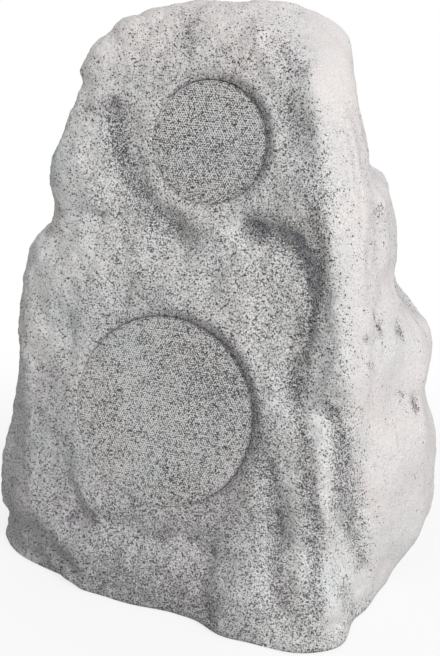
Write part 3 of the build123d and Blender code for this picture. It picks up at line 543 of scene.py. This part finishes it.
# Streaks where the flecks lie closer or further apart, closer in flutes and hollows and sparser on pillars,
# partly as painted shade and light: face, points across and up, half width, change, and darkening that is
# stain on the flaws and painted shade in the cleft, the valley and the hollows
STREAKS = {
    "inner flute": ("front", ((78, 168), (86, 128), (94, 94), (103, 66), (115, 39)), 8, 0.30, 0.06),
    "middle flute": (
        "front",
        ((98, 204), (115, 167), (122, 144), (128, 117), (135, 83), (145, 40)),
        8, 0.34, 0.05,
    ),
    "outer flute": (
        "front",
        ((136, 189), (142, 170), (150, 124), (153, 99), (156, 70), (163, 48)),
        6, 0.50, 0.05,
    ),
    "first pillar": ("front", ((87, 192), (95, 178), (104, 139), (113, 91), (125, 57)), 7, -0.18, 0),
    "second pillar": ("front", ((121, 178), (129, 161), (139, 113), (144, 75), (161, 27)), 9, -0.46, 0),
    "pillar foot": ("front", ((150, 74), (156, 46), (163, 20)), 11, -0.30, 0),
    "crown left": ("front", ((-23, 478), (-21, 460)), 11, 0.22, 0.05),
    "crown right": ("front", ((38, 483), (55, 476), (68, 465)), 11, 0.30, 0.10),
    "crown spot": ("front", ((78, 449), (80, 445)), 4, 0.50, 0.30),
    "shoulder": ("front", ((72, 418), (82, 407)), 13, 0.22, 0),
    "corner": ("front", ((106, 352), (109, 330), (111, 307), (110, 282), (106, 262)), 9, 0.36, 0.04),
    "cleft head": ("front", ((43, 320), (49, 319), (56, 316)), 6, 0.70, 0.55),
    "cleft bend": ("front", ((70, 317), (90, 309), (106, 290), (106, 245), (103, 205)), 11, 0.34, 0.04),
    "knot": ("front", ((128, 197), (137, 189)), 6, 0.35, 0.15),
    "thin strip": ("front", ((120, 272), (120, 238), (124, 205), (130, 180)), 12, -0.18, 0),
    "lump head": ("front", ((-101, 406), (-90, 404)), 8, 0.30, 0.15),
    "valley": ("front", ((-86, 404), (-79, 380), (-66, 349), (-47, 326), (-30, 307)), 11, 0.38, 0.10),
    "valley head": ("front", ((-79, 387), (-75, 366)), 9, 0.30, 0.15),
    "lip left": ("front", ((-92, 59), (-91, 58)), 4, 0.50, 0.50),
    "lip middle": ("front", ((-4, 63), (-2, 63)), 4, 0.40, 0.40),
    "left hollow": ("front", ((-127, 174), (-129, 156), (-115, 114), (-105, 72)), 14, 0.10, 0.25),
    "upper flaw": ("right", ((-36, 257), (-35, 255)), 3, 0.90, 0.30),
    "second flaw": ("right", ((-28, 247), (-28, 239)), 3, 0.90, 0.30),
    "rear flaw": ("right", ((4, 230), (8, 227)), 4, 0.90, 0.30),
    "front flaw": ("right", ((-58, 246), (-58, 244)), 3, 0.90, 0.20),
    "lower flaw": ("right", ((-57, 224), (-54, 221)), 4, 0.60, 0.10),
    "low flaw": ("right", ((6, 168), (8, 158)), 3, 0.90, 0.25),
    "middle flaw": ("right", ((-9, 180), (-7, 176)), 3, 0.70, 0.10),
    "last flaw": ("right", ((56, 222), (58, 220)), 3, 0.60, 0.10),
    "ledge flaw": ("right", ((-8, 338), (2, 334)), 5, 0.50, 0.10),
}
# Corner between the flecked front and the bare right side, whose missing flecks partly paint the light on
# that lit face: height and place across (millimetres)
BARE_EDGE = (
    (16, 169), (41, 166), (65, 162), (89, 158), (120, 154), (151, 151), (178, 147), (195, 144), (218, 141),
    (241, 138), (263, 134), (282, 128), (301, 122), (331, 117), (360, 112), (378, 104), (427, 92), (454, 81),
    (471, 68), (482, 56),
)
# Faces of the boulder: direction each looks in, and the axis that runs across it
FACES = {
    "front": ((0, -1, 0), 0),
    "right": ((1, 0, 0), 1),
    "left": ((-1, 0, 0), 1),
    "back": ((0, 1, 0), 0),
}


def outward(point):
    """Direction away from the boulder's spine."""
    height = min(point.z, SPINE_TOP)
    return (point - SPINE - Vector((0, SPINE_LEAN * height, height))).normalized()


def near_fitting(point, margin):
    """Whether a point lies in a grille's seat or in the gland's flat."""
    for seat, radius in SEATS.values():
        local = seat.inverted() @ point
        if math.hypot(local.x, local.y) < radius + margin and -SEAT_REACH < local.z < SEAT_REACH:
            return True
    spot = math.hypot(point.x - GLAND_MIDDLE.x, point.z - GLAND_MIDDLE.z)
    return point.y > GLAND_LOW.y - GLAND_DEPTH and spot < GLAND_FLAT + margin


def is_skin(face):
    """Whether a face belongs to the boulder's outer skin."""
    middle = face.calc_center_median()
    if face.normal.dot(outward(middle)) <= SKIN_TURN or middle.z <= SKIN_FOOT:
        return False
    return not near_fitting(middle, SEAT_MARGIN)


def grow(values, start, width):
    """Values taken from start to start + width to 0..1."""
    return np.clip((values - start) / width, 0, 1)


def soften(values):
    """Rounds both ends of values that go from 0 to 1."""
    return values * values * (3 - 2 * values)


def bell(gap, width):
    """One at no gap, falling away over the width."""
    return np.exp(-((gap / width) ** 2))


def reach(points, start, end):
    """Distance of each point from a straight stretch."""
    run = end - start
    along = np.clip((points - start) @ run / (run @ run), 0, 1)
    return np.linalg.norm(points - start - along[:, None] * run, axis=1)


def path_gap(points, path):
    """Distance of each point from a path."""
    stops = np.array(path)
    return np.min([reach(points, start, end) for start, end in zip(stops, stops[1:])], axis=0)


def creased(points, normals):
    """Sum of the creases and ridges at each point, in metres."""
    total = np.zeros(len(points))
    vary = 0.85 + 0.35 * np.sin(points @ VARY_WAVES[0]) * np.sin(points @ VARY_WAVES[1])
    sway = SWAY * np.sin(points @ SWAY_WAVES)
    for side, path, width, depth in CREASES.values():
        facing, across = FACES[side]
        turned = grow(normals @ np.array(facing), 0.15, 0.3)
        gap = path_gap(points[:, (across, 2)] * 1000 + sway, path)
        total += depth * bell(gap, width) * turned * vary
    return total / 1000


def streaked(points, normals):
    """Change of the flecks' density in the streaks, and how far each streak is darkened by stains and painted
    shade.
    """
    change = np.zeros(len(points))
    stain_and_shade = np.zeros(len(points))
    for side, path, width, closer, dark in STREAKS.values():
        facing, across = FACES[side]
        gap = path_gap(points[:, (across, 2)] * 1000, path)
        near = bell(gap, width) * grow(normals @ np.array(facing), 0, 0.4)
        change += closer * near
        stain_and_shade += dark * near
    return change, stain_and_shade


def round_seat(points, seat, radius):
    """Height of each point over a grille's seat, its distance from the sheet, and its turn round it."""
    local = (points - np.array(seat.translation)) @ np.array(seat.to_3x3())
    ring = np.hypot(local[:, 0], local[:, 1]) - radius
    return local[:, 2], ring, np.arctan2(local[:, 1], local[:, 0])


def rim_shade(points):
    """Painted shade beside the grilles: a soft band on the hollow side of each lip, and a line at the sheet's
    edge.
    """
    band = np.zeros(len(points))
    line = np.zeros(len(points))
    for seat, radius in SEATS.values():
        height, ring, turn = round_seat(points, seat, radius)
        ring = np.where(np.abs(height) < LIP_REACH, ring, 1)
        band += bell(ring - BAND[0], BAND[1]) * np.clip(0.25 + 0.75 * np.cos(turn - LIP_TURN), 0, 1)
        line += bell(ring - LINE[0], LINE[1]) * np.clip(0.8 + 2 * np.cos(turn - LINE_TURN), 0, 1)
    return band, line


def front_corner(points, normals):
    """How far each point lies past the right corner of the front, and the moves that sharpen and slope it."""
    heights, places = np.array(BARE_EDGE).T / 1000
    past = points[:, 0] - np.interp(points[:, 2], heights, places)
    front = grow(-normals[:, 1], 0, 0.5) * grow(points[:, 2], CORNER_FOOT, 0.03)
    slope = grow(past, 0, CORNER_RUN)
    return past, front * (CORNER_RISE * bell(past, CORNER_WIDTH) - CORNER_FALL * slope)


def bare_side(points, normals, past):
    """Share of the bare right side at each point; its missing flecks partly paint the light on that lit side.
    """
    sideways = grow(normals[:, 0], 0.42, 0.4) * grow(points[:, 1], -0.085, 0.03)
    return np.maximum(sideways, np.clip(past / 0.022 + 0.5, 0, 1))


def lumpy(points, settings):
    """Upright ripples, knuckle sized lumps and small pebbling, in metres."""
    layers = [(*waves, fade, getattr(settings, name)) for name, (waves, fade) in RELIEF.items()]
    heights = []
    for x, y, z in points:
        heights.append(
            sum(noise.fractal((x * a, y * b, z * c), fade, 2.0, 2) * tall for a, b, c, fade, tall in layers)
        )
    return np.array(heights)


def moved(points, normals, out, settings):
    """Moves of the skin, held back at the foot and the gland and led to the lips of the grilles."""
    spot = np.hypot(points[:, 0] - GLAND_MIDDLE.x, points[:, 2] - GLAND_MIDDLE.z) - GLAND_FLAT
    clear = np.where(points[:, 1] > 0, grow(spot, 0, GLAND_FADE), 1)
    hold = grow(points[:, 2], 0.002, 0.012) * clear
    moves = normals * (out * hold)[:, None]
    for seat, radius in SEATS.values():
        height, ring, turn = round_seat(points, seat, radius)
        toward = np.cos(turn - LIP_TURN)
        close = grow(ring, LIP_START, LIP_FADE + LIP_FADE_LEFT * np.clip(-toward, 0, 1))
        near = np.where(np.abs(height) < LIP_REACH, 1 - soften(close), 0)
        rise = soften(grow(ring, 0, settings.lip_round))
        lip = settings.lip_low + (settings.lip_high - settings.lip_low) * rise * (1 + toward) / 2
        level = (lip - height)[:, None] * np.array(FACE_OUT)
        moves += (level - moves) * (near * LIP_HOLD)[:, None]
    return moves


def coat_values(points, normals, crease, right):
    """Soil and painted shade, density of the flecks and warmth of the coat at each point."""
    # Painted shade in the creases, stronger the deeper the crease
    dirt = grow(-crease, 0, 0.004)
    left = grow(-points[:, 0], 0.06, 0.07)
    up = grow(normals[:, 2], 0.35, 0.5)
    high = grow(points[:, 2], 0.38, 0.10)
    raised = grow(points[:, 2], 0.20, 0.12)
    pillars = grow(points[:, 0], 0.06, 0.05)
    # Painted shade low down, deeper on the left and lighter past the right pillars, where less light reaches
    # the foot
    low = np.clip(1 - points[:, 2] / 0.26, 0, 1) * (1 - right) * (1 + 0.3 * left - 0.9 * pillars)
    band, line = rim_shade(points)
    change, stain_and_shade = streaked(points, normals)
    # Flecks thin out on the bare right side, on up-facing faces and high up, painted light where the lamps
    # fall most, and on the left; they gather as painted shade in creases, low down and round the grilles
    flecks = 0.70 - 0.66 * right - 0.36 * left - 0.22 * up - 0.28 * high + (0.30 + 0.2 * right) * dirt
    flecks += 0.20 * low + 0.14 * raised * right + change + 0.25 * band + 0.3 * line
    # Darkening by stains and by painted shade in creases, low down, a little on the right, and in the band
    # and line round the grilles
    soil_and_shade_levels = 0.30 * dirt + 0.37 * low + 0.06 * right + 0.28 * band + 0.8 * line + stain_and_shade
    # The cast grows warmer on the bare right side and high up: painted warm key light on the lit faces
    return soil_and_shade_levels, flecks, 0.38 + 0.4 * right + 0.5 * high


class ROCK_OT_boulder(bpy.types.Operator):
    """Shapes the boulder's skin from its solid and coats it"""

    bl_idname = "rock_speaker.boulder"
    bl_label = "Boulder"

    def execute(self, context):
        settings = context.scene.rock_settings
        skin = bmesh.new()
        skin.from_mesh(NODES["rock_shell"].data)
        outer = self.refine(skin, settings.edge)
        verts = [v for v in skin.verts if any(f[outer] for f in v.link_faces)]
        points = np.array([v.co for v in verts])
        normals = np.array([self.skin_normal(v, outer) for v in verts])
        crease = creased(points, normals)
        past, sloped = front_corner(points, normals)
        right = bare_side(points, normals, past)
        rough = lumpy(points, settings) * (1 - CALM_RIGHT * right)
        out = np.maximum(crease + sloped + rough, -settings.deepest)
        moves = moved(points, normals, out, settings)
        self.weather(skin, verts, moves, coat_values(points, normals, crease, right))
        boulder = finished("boulder", skin, "enclosure", "rock_shell")
        boulder.data.set_sharp_from_angle(angle=SHARP_ANGLE)
        boulder.data.materials.append(granite_coat(settings))
        return {"FINISHED"}

    def refine(self, skin, longest):
        """Marks the outer skin, cuts it finely, evens it out and makes room for the coat's values."""
        bmesh.ops.remove_doubles(skin, verts=skin.verts, dist=WELD)
        skin.normal_update()
        outer = skin.faces.layers.int.new("outer")
        for face in skin.faces:
            face[outer] = is_skin(face)
        for _ in range(HALVINGS):
            long = {e for f in skin.faces if f[outer] for e in f.edges if e.calc_length() > longest}
            if not long:
                break
            self.halve(skin, long)
        inner = [e for e in skin.edges if all(f[outer] for f in e.link_faces)]
        bmesh.ops.beautify_fill(skin, faces=[f for f in skin.faces if f[outer]], edges=inner)
        rims = [f for f in skin.faces if f[outer] and near_fitting(f.calc_center_median(), RIM_MARGIN)]
        self.halve(skin, {e for f in rims for e in f.edges if e.calc_length() > longest / 2})
        loose = [v for v in skin.verts if all(f[outer] for f in v.link_faces)]
        axes = {f"use_axis_{axis}": True for axis in "xyz"}
        for _ in range(SMOOTHINGS):
            bmesh.ops.smooth_vert(skin, verts=loose, factor=0.5, **axes)
        skin.normal_update()
        for name in COAT_LAYERS:
            skin.verts.layers.float.new(name)
        return outer

    def halve(self, skin, long):
        """Cuts edges in half and parts the faces into triangles; ear clipping leaves no face on another."""
        bmesh.ops.subdivide_edges(skin, edges=list(long), cuts=1)
        cut = [f for f in skin.faces if len(f.verts) > 3]
        bmesh.ops.triangulate(skin, faces=cut, quad_method="SHORT_EDGE", ngon_method="EAR_CLIP")

    def skin_normal(self, vert, outer):
        """Direction out of the skin alone, without the walls that meet it."""
        return sum((f.normal * f.calc_area() for f in vert.link_faces if f[outer]), Vector()).normalized()

    def weather(self, skin, verts, moves, coats):
        """Moves the skin and keeps the coat's values on its points."""
        soil_and_shade, density, warmth = (skin.verts.layers.float[name] for name in COAT_LAYERS)
        # Walls and seats off the skin get painted shade and dense flecks
        for vert in skin.verts:
            vert[soil_and_shade] = WALL_SHADE
            vert[density] = WALL_FLECKS
        for vert, move, values in zip(verts, moves, zip(*coats)):
            vert.co += Vector(move)
            vert[soil_and_shade], vert[density], vert[warmth] = values
        for face in skin.faces:
            face.smooth = True


class ROCK_OT_grilles(bpy.types.Operator):
    """Makes the two perforated sheets with their rolled rims"""

    bl_idname = "rock_speaker.grilles"
    bl_label = "Grilles"

    def execute(self, context):
        settings = context.scene.grille_settings
        coat = grille_coat(context.scene.rock_settings)
        for driver, (seat, radius) in SEATS.items():
            sheet = self.perforated(radius - SHEET_GAP, settings)
            bmesh.ops.translate(sheet, verts=sheet.verts, vec=(0, 0, GRILLE_RIM - SHEET_SUNK))
            self.rim(sheet, radius)
            bmesh.ops.transform(sheet, matrix=seat, verts=sheet.verts)
            name = f"{driver}_perforated_sheet"
            grille = finished(name, sheet, "enclosure", f"{driver}_grille")
            grille.data.materials.append(coat)
        return {"FINISHED"}

    def copied(self, sheet, faces, vec):
        """Copies faces to another place on the sheet."""
        copy = bmesh.ops.duplicate(sheet, geom=faces)["geom"]
        verts = [item for item in copy if isinstance(item, bmesh.types.BMVert)]
        bmesh.ops.translate(sheet, verts=verts, vec=vec)

    def perforated(self, radius, settings):
        """Six sided holes in close rows, cut from a round sheet."""
        sheet = bmesh.new()
        pitch = settings.pitch
        count = int(radius / pitch) + 2
        bmesh.ops.create_circle(sheet, cap_ends=True, segments=6, radius=pitch / math.sqrt(3))
        cell = list(sheet.faces)
        for step in range(1, 2 * count + 1):
            self.copied(sheet, cell, ((step - count) * pitch, 0, 0))
        first = [f for f in sheet.faces if f not in cell]
        bmesh.ops.delete(sheet, geom=cell, context="FACES")
        rise = pitch * math.sqrt(3) / 2
        rows = int(radius / rise) + 1
        for step in range(-rows, rows + 1):
            half = math.sqrt(max(0.0, radius**2 - (step * rise) ** 2)) + pitch
            shift = pitch / 2 if step % 2 else 0.0
            near = [f for f in first if abs(f.calc_center_median().x + shift) < half]
            self.copied(sheet, near, (shift, step * rise, 0))
        bmesh.ops.delete(sheet, geom=first, context="FACES")
        outside = [f for f in sheet.faces if f.calc_center_median().length > radius - pitch * 0.4]
        bmesh.ops.delete(sheet, geom=outside, context="FACES")
        bmesh.ops.remove_doubles(sheet, verts=sheet.verts, dist=pitch * 0.05)
        holes = list(sheet.faces)
        bmesh.ops.inset_individual(sheet, faces=holes, thickness=settings.web)
        bmesh.ops.delete(sheet, geom=holes, context="FACES_ONLY")
        bmesh.ops.recalc_face_normals(sheet, faces=sheet.faces)
        if sheet.faces[:][0].normal.z < 0:
            bmesh.ops.reverse_faces(sheet, faces=sheet.faces)
        bmesh.ops.solidify(sheet, geom=sheet.faces[:], thickness=settings.sheet)
        return sheet

    def rim(self, sheet, radius):
        """Rolled edge that stands on the seat and laps over the sheet."""
        profile = [
            (radius, 0),
            (radius, GRILLE_RIM - RIM_SHOULDER),
            (radius - RIM_ROUND, GRILLE_RIM - SHEET_SUNK),
            (radius - RIM_FLAT, GRILLE_RIM - SHEET_SUNK),
            (radius - RIM_WALL, GRILLE_RIM - RIM_SHOULDER),
            (radius - RIM_WALL, 0),
        ]
        ring = bmesh.new()
        verts = [ring.verts.new((across, 0, up)) for across, up in profile]
        edges = [ring.edges.new(pair) for pair in zip(verts, verts[1:] + verts[:1])]
        turn = {"cent": (0, 0, 0), "axis": (0, 0, 1), "angle": math.tau, "steps": RIM_STEPS}
        bmesh.ops.spin(ring, geom=verts + edges, use_merge=True, **turn)
        bmesh.ops.recalc_face_normals(ring, faces=ring.faces)
        mesh = bpy.data.meshes.new("rim")
        ring.to_mesh(mesh)
        ring.free()
        sheet.from_mesh(mesh)
        bpy.data.meshes.remove(mesh)


class ROCK_OT_drivers(bpy.types.Operator):
    """Finishes the cone drivers behind the grilles"""

    bl_idname = "rock_speaker.drivers"
    bl_label = "Drivers"

    def execute(self, context):
        for driver in SEATS:
            for piece, name in DRIVER_FINISHES.items():
                paint(f"{driver}_{piece}", name)
        return {"FINISHED"}


class ROCK_OT_suspension(bpy.types.Operator):
    """Parts the surrounds and spiders into sectors that bend as the cones travel"""

    bl_idname = "rock_speaker.suspension"
    bl_label = "Suspension"

    def execute(self, context):
        rings = (("surround", "rubber_black", "soft_rubber"), ("spider", "spider_cloth", "treated_cloth"))
        for driver, (seat, _) in SEATS.items():
            for part, slot, finish in rings:
                for count in range(SECTORS):
                    piece = self.sector(driver, part, count, seat)
                    piece.data.materials.append(shared(finish))
                    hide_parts(f"{driver}_{part}")
        return {"FINISHED"}

    def sector(self, driver, part, count, seat):
        """One sector of a ring, held by the frame at its outer edge and by the cone at its inner edge."""
        ring = bmesh.new()
        ring.from_mesh(NODES[f"{driver}_{part}"].data)
        bmesh.ops.remove_doubles(ring, verts=ring.verts, dist=WELD)
        bmesh.ops.transform(ring, matrix=seat.inverted(), verts=ring.verts)
        away = [math.hypot(v.co.x, v.co.y) for v in ring.verts]
        middle = math.tau * count / SECTORS
        half = math.pi / SECTORS
        for side in (-1, 1):
            turn = middle + side * (half + math.pi / 2)
            geom = ring.verts[:] + ring.edges[:] + ring.faces[:]
            across = (math.cos(turn), math.sin(turn), 0)
            bmesh.ops.bisect_plane(ring, geom=geom, plane_co=(0, 0, 0), plane_no=across, clear_outer=True)
        bmesh.ops.holes_fill(ring, edges=[e for e in ring.edges if e.is_boundary], sides=0)
        bmesh.ops.triangulate(ring, faces=[f for f in ring.faces if len(f.verts) > 3])
        bmesh.ops.transform(ring, matrix=seat, verts=ring.verts)
        piece = placed(f"{driver}_{part}_{count + 1}", ring)
        glued = (max(away) - min(away)) * GLUED_SHARE
        held = (max(away) - glued) * math.cos(half)
        free = min(away) + glued
        start, end = (seat @ Vector((math.cos(middle) * r, math.sin(middle) * r, 0)) for r in (held, free))
        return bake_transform(piece, "enclosure", f"{driver}_moving", start=start, end=end)


class ROCK_OT_fittings(bpy.types.Operator):
    """Finishes the base, feet, gland and crossover"""

    bl_idname = "rock_speaker.fittings"
    bl_label = "Fittings"

    def execute(self, context):
        for name, nodes in FITTING_FINISHES.items():
            for node in nodes:
                paint(node, name)
        return {"FINISHED"}


class ROCK_OT_stage(bpy.types.Operator):
    """Sets the floor, the lamps and the camera"""

    bl_idname = "rock_speaker.stage"
    bl_label = "Stage"

    def execute(self, context):
        settings = context.scene.stage_settings
        context.scene.view_settings.view_transform = "Standard"
        self.floor()
        self.sky(context, settings.sky)
        self.lamp("key_lamp", *KEY_LAMP, settings.key_power)
        self.lamp("fill_lamp", *FILL_LAMP, settings.fill_power)
        self.camera(context, settings)
        return {"FINISHED"}

    def floor(self):
        """White floor that glows to the camera, less so close to the boulder, where its shadow shows."""
        sheet = bmesh.new()
        bmesh.ops.create_grid(sheet, x_segments=1, y_segments=1, size=FLOOR_SIZE)
        floor = placed("floor", sheet)
        white = Finish("white_floor", roughness=0.9)
        seen, mirrored, through = ray_kinds(white.tree)
        white.feed("Base Color", white.mix(seen, grey(0.40), grey(0.94)))
        glow = white.tree.nodes.new("ShaderNodeEmission")
        away = white.node("ShaderNodeVectorMath", {"operation": "LENGTH"}, output="Value", Vector=white.place)
        share = 0.80 + 0.20 * white.ramp(away, 0.22, 0.55)
        share = (seen + mirrored + through) * share
        mix_shaders(white.tree, share, white.shader, glow, "Material Output")
        floor.data.materials.append(white.material)

    def sky(self, context, strength):
        """Soft light all round that the camera sees as plain white."""
        world = bpy.data.worlds.new("pale_room")
        world.use_nodes = True
        tree = world.node_tree
        light = tree.nodes["Background"]
        light.inputs["Strength"].default_value = strength
        white = tree.nodes.new("ShaderNodeBackground")
        for shade in (light, white):
            shade.inputs["Color"].default_value = grey(1.0)
        seen, mirrored, through = ray_kinds(tree)
        mix_shaders(tree, seen + mirrored + through, light, white, "World Output")
        context.scene.world = world

    def lamp(self, name, place, size, power):
        light = bpy.data.lights.new(name, "AREA")
        light.size = size
        light.energy = power
        lamp = bpy.data.objects.new(name, light)
        lamp.location = place
        lamp.rotation_euler = (LAMP_AIM - Vector(place)).to_track_quat("-Z", "Y").to_euler()
        bpy.context.collection.objects.link(lamp)

    def camera(self, context, settings):
        lens = bpy.data.cameras.new("camera")
        lens.sensor_fit = "VERTICAL"
        lens.sensor_height = FRAME_HEIGHT
        lens.lens = settings.lens
        camera = bpy.data.objects.new("camera", lens)
        level = math.cos(settings.elevation)
        right, ahead = math.sin(settings.azimuth) * level, -math.cos(settings.azimuth) * level
        away = Vector((right, ahead, math.sin(settings.elevation)))
        camera.location = Vector(settings.target) + away * settings.distance
        camera.rotation_euler = (-away).to_track_quat("-Z", "Y").to_euler()
        bpy.context.collection.objects.link(camera)
        context.scene.camera = camera


class ROCK_PT_panel(bpy.types.Panel):
    """Lists the steps and their settings"""

    bl_idname = "ROCK_PT_panel"
    bl_label = "Rock Speaker"
    bl_space_type = "VIEW_3D"
    bl_region_type = "UI"
    bl_category = "Rock Speaker"

    def draw(self, context):
        for operator in OPERATORS:
            self.layout.operator(operator.bl_idname)
        for name in GROUPS:
            group = getattr(context.scene, name)
            for key in group.__annotations__:
                self.layout.prop(group, key)


GROUPS = {"rock_settings": RockSettings, "grille_settings": GrilleSettings, "stage_settings": StageSettings}
OPERATORS = (
    ROCK_OT_boulder,
    ROCK_OT_grilles,
    ROCK_OT_drivers,
    ROCK_OT_suspension,
    ROCK_OT_fittings,
    ROCK_OT_stage,
)


def register():
    for name, group in GROUPS.items():
        bpy.utils.register_class(group)
        setattr(bpy.types.Scene, name, bpy.props.PointerProperty(type=group))
    for kind in (*OPERATORS, ROCK_PT_panel):
        bpy.utils.register_class(kind)


def unregister():
    for kind in (ROCK_PT_panel, *reversed(OPERATORS)):
        bpy.utils.unregister_class(kind)
    for name, group in GROUPS.items():
        delattr(bpy.types.Scene, name)
        bpy.utils.unregister_class(group)


def main():
    register()
    bpy.ops.rock_speaker.boulder()
    bpy.ops.rock_speaker.grilles()
    bpy.ops.rock_speaker.drivers()
    bpy.ops.rock_speaker.suspension()
    bpy.ops.rock_speaker.fittings()
    bpy.ops.rock_speaker.stage()


if __name__ == "__main__":
    main()
